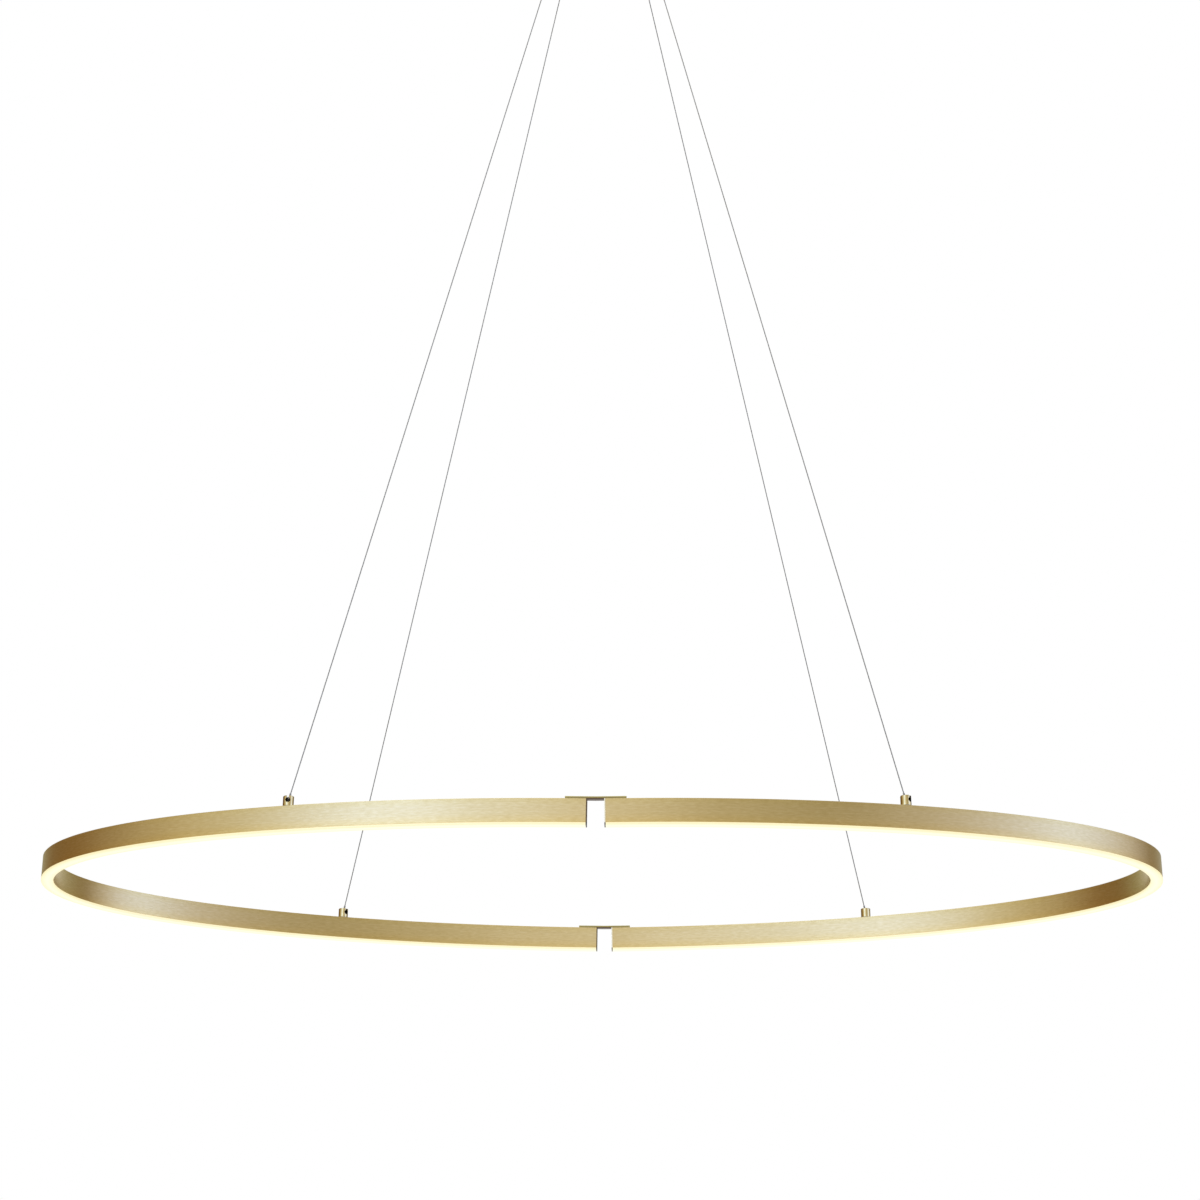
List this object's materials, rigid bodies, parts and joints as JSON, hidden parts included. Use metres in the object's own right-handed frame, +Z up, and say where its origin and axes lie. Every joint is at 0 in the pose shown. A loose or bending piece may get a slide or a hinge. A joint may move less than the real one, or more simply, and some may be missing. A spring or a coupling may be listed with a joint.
{
  "type": "pendant light",
  "caption": "Oval pendant light: slim brushed-brass half rings with a lit opal underside, joined by folded bridges and hung on steel ropes from a round ceiling canopy.",
  "frame": {"origin": "middle of the canopy, on the ceiling", "axes": "+Z up into the ceiling, X along the oval's length, -Y towards the viewer"},
  "size_m": [1.5008, 0.75, 1.5026],
  "materials": {
    "brushed_brass": "brushed along the band, pale champagne gold",
    "polished_brass": "polished",
    "rope_steel": "twisted wire rope",
    "bright_steel": "bright plated",
    "opal": "opal, satin, lit from inside",
    "board": "white solder mask",
    "chip": "cast lens",
    "zinc": "zinc plated",
    "white_steel": "white powder coat",
    "nylon": "moulded",
    "white_case": "moulded"
  },
  "bodies": {
    "lamp": {"ceiling_plate": "white_steel", "canopy_cover": "brushed_brass", "canopy_screws": "polished_brass", "led_driver": "white_case", "driver_screws": "zinc", "terminal_block": "white_case", "terminal_screws": "zinc", "supply_leads": "white_case", "feed_leads": "white_case", "rope_clamps": "polished_brass", "gripper_nuts": "zinc", "gripper_bushes": "nylon", "gripper_near_left": "polished_brass", "gripper_near_right": "polished_brass", "gripper_far_left": "polished_brass", "gripper_far_right": "polished_brass", "spring_near_left": "bright_steel", "spring_near_right": "bright_steel", "spring_far_left": "bright_steel", "spring_far_right": "bright_steel", "rope_near_left": "rope_steel", "rope_near_right": "rope_steel", "rope_far_left": "rope_steel", "rope_far_right": "rope_steel", "rope_end_near_left": "bright_steel", "rope_end_near_right": "bright_steel", "rope_end_far_left": "bright_steel", "rope_end_far_right": "bright_steel", "holder_washers": "nylon", "holder_bushes": "nylon", "contact_pins": "bright_steel", "profile_left": "brushed_brass", "profile_right": "brushed_brass", "diffuser_left": "opal", "diffuser_right": "opal", "light_board_left": "board", "light_board_right": "board", "light_chips_left": "chip", "light_chips_right": "chip", "end_cap_near_left": "brushed_brass", "end_cap_near_right": "brushed_brass", "end_cap_far_left": "brushed_brass", "end_cap_far_right": "brushed_brass", "bridge_near": "brushed_brass", "bridge_far": "brushed_brass", "bridge_screws": "polished_brass"},
    "plunger_near_left": {"plunger_near_left": "bright_steel"},
    "holder_near_left": {"holder_near_left": "polished_brass", "holder_screw_near_left": "bright_steel"},
    "plunger_near_right": {"plunger_near_right": "bright_steel"},
    "holder_near_right": {"holder_near_right": "polished_brass", "holder_screw_near_right": "bright_steel"},
    "plunger_far_left": {"plunger_far_left": "bright_steel"},
    "holder_far_left": {"holder_far_left": "polished_brass", "holder_screw_far_left": "bright_steel"},
    "plunger_far_right": {"plunger_far_right": "bright_steel"},
    "holder_far_right": {"holder_far_right": "polished_brass", "holder_screw_far_right": "bright_steel"}
  },
  "joints": [
    {"name": "plunger_near_left_press", "type": "slide", "parent": "lamp", "child": "plunger_near_left", "axis": [0, 0, 1], "range_m": [0, 0.0025], "stiffness_N_per_m": 400, "deforming": ["spring_near_left"]},
    {"name": "plunger_near_right_press", "type": "slide", "parent": "lamp", "child": "plunger_near_right", "axis": [0, 0, 1], "range_m": [0, 0.0025], "stiffness_N_per_m": 400, "deforming": ["spring_near_right"]},
    {"name": "plunger_far_left_press", "type": "slide", "parent": "lamp", "child": "plunger_far_left", "axis": [0, 0, 1], "range_m": [0, 0.0025], "stiffness_N_per_m": 400, "deforming": ["spring_far_left"]},
    {"name": "plunger_far_right_press", "type": "slide", "parent": "lamp", "child": "plunger_far_right", "axis": [0, 0, 1], "range_m": [0, 0.0025], "stiffness_N_per_m": 400, "deforming": ["spring_far_right"]},
    {"name": "holder_near_left_swivel", "type": "hinge", "parent": "lamp", "child": "holder_near_left", "pos_m": [-0.38159, -0.31617, -1.45717], "axis": [0.0129, 0, 0.9999], "continuous": true},
    {"name": "holder_near_right_swivel", "type": "hinge", "parent": "lamp", "child": "holder_near_right", "pos_m": [0.38159, -0.31617, -1.45717], "axis": [-0.0129, 0, 0.9999], "continuous": true},
    {"name": "holder_far_left_swivel", "type": "hinge", "parent": "lamp", "child": "holder_far_left", "pos_m": [-0.38159, 0.31617, -1.45717], "axis": [0.0129, 0, 0.9999], "continuous": true},
    {"name": "holder_far_right_swivel", "type": "hinge", "parent": "lamp", "child": "holder_far_right", "pos_m": [0.38159, 0.31617, -1.45717], "axis": [-0.0129, 0, 0.9999], "continuous": true}
  ]
}
